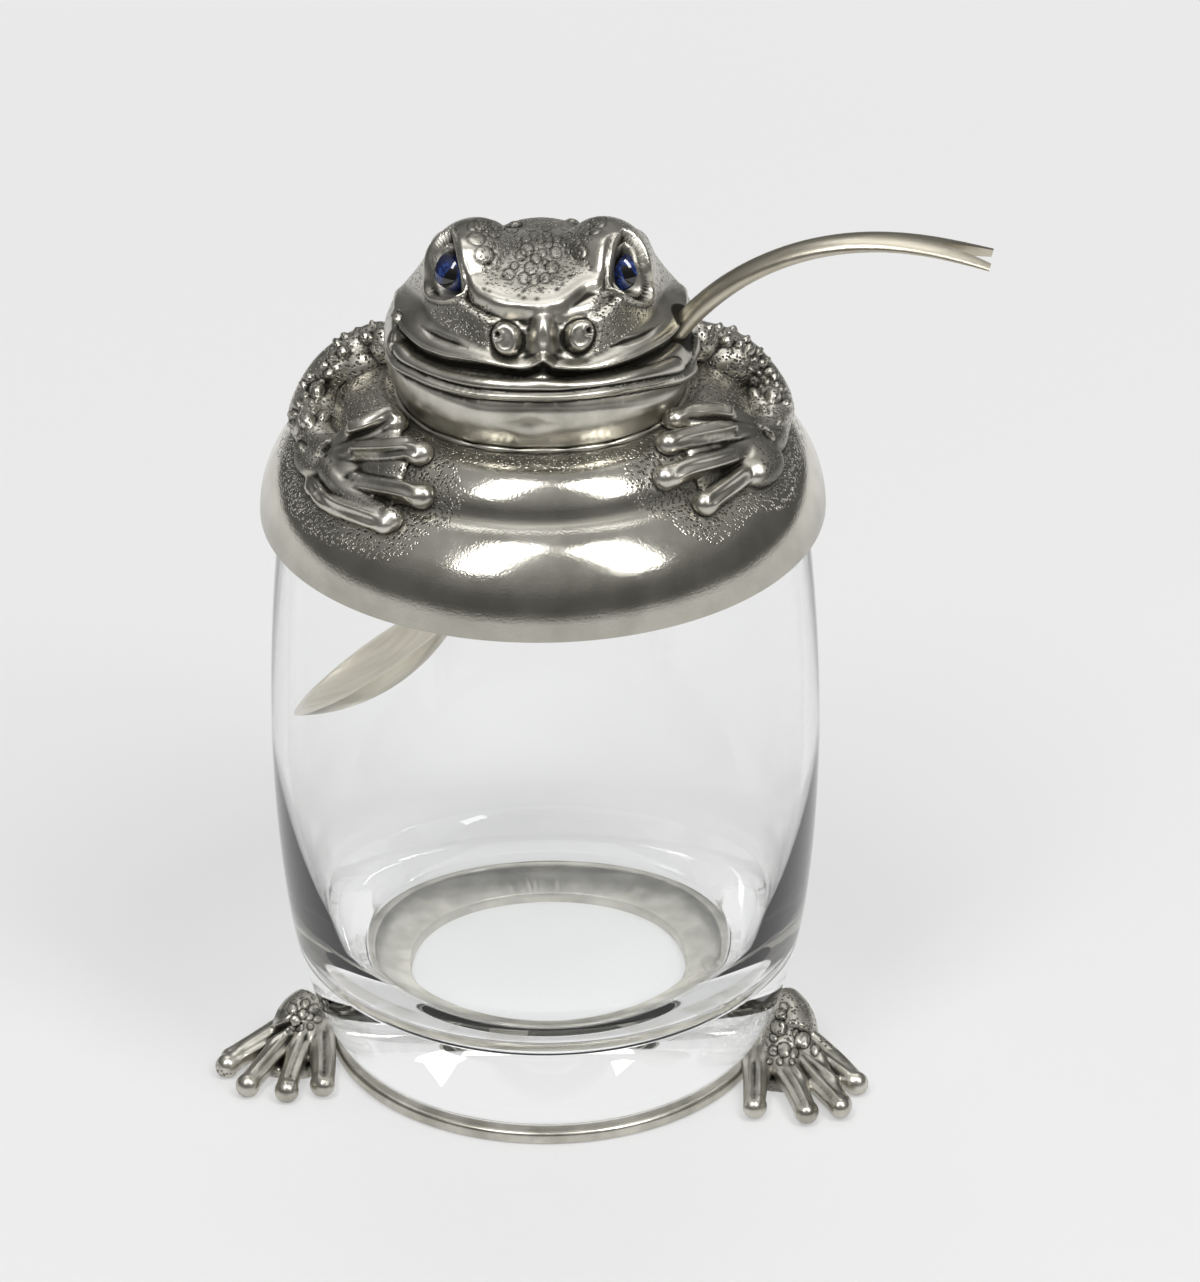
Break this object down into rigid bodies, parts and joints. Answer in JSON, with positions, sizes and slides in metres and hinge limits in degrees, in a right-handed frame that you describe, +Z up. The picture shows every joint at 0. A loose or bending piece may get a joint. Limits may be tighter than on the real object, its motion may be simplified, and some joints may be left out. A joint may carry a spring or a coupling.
{
  "type": "jam pot",
  "caption": "Clear barrel glass jam pot on a cast ring with webbed feet, with a lift-off toad lid and a jam spoon whose handle is the toad's forked tongue.",
  "frame": {"origin": "centre of the base ring's underside, on the table", "axes": "+Z up through the jar's axis, -Y the way the toad looks, +X the toad's left, where the spoon comes out"},
  "size_m": [0.1305, 0.094, 0.1583],
  "materials": {
    "clear_glass": "clear blown glass with a heavy base",
    "cast_pewter": "cast pewter, dark in the recesses and hand polished on the high parts",
    "eye_glass": "glossy blue glass with a black slit pupil",
    "spoon_metal": "satin pale gold metal"
  },
  "bodies": {
    "jar": {"glass_jar": "clear_glass", "base_ring": "cast_pewter", "hind_foot_left": "cast_pewter", "hind_foot_right": "cast_pewter"},
    "lid": {"lid_dome": "cast_pewter", "lid_locating_ring": "cast_pewter", "toad_head": "cast_pewter", "eye_left": "eye_glass", "eye_right": "eye_glass", "foreleg_left": "cast_pewter", "foreleg_right": "cast_pewter"},
    "spoon": {"spoon": "spoon_metal"}
  },
  "joints": [
    {"name": "lid_lift", "type": "slide", "parent": "jar", "child": "lid", "axis": [0.0872, 0, 0.9962], "range_m": [0, 0.062]},
    {"name": "spoon_draw", "type": "slide", "parent": "lid", "child": "spoon", "axis": [0.5401, -0.0701, 0.8387], "range_m": [0, 0.04]}
  ]
}
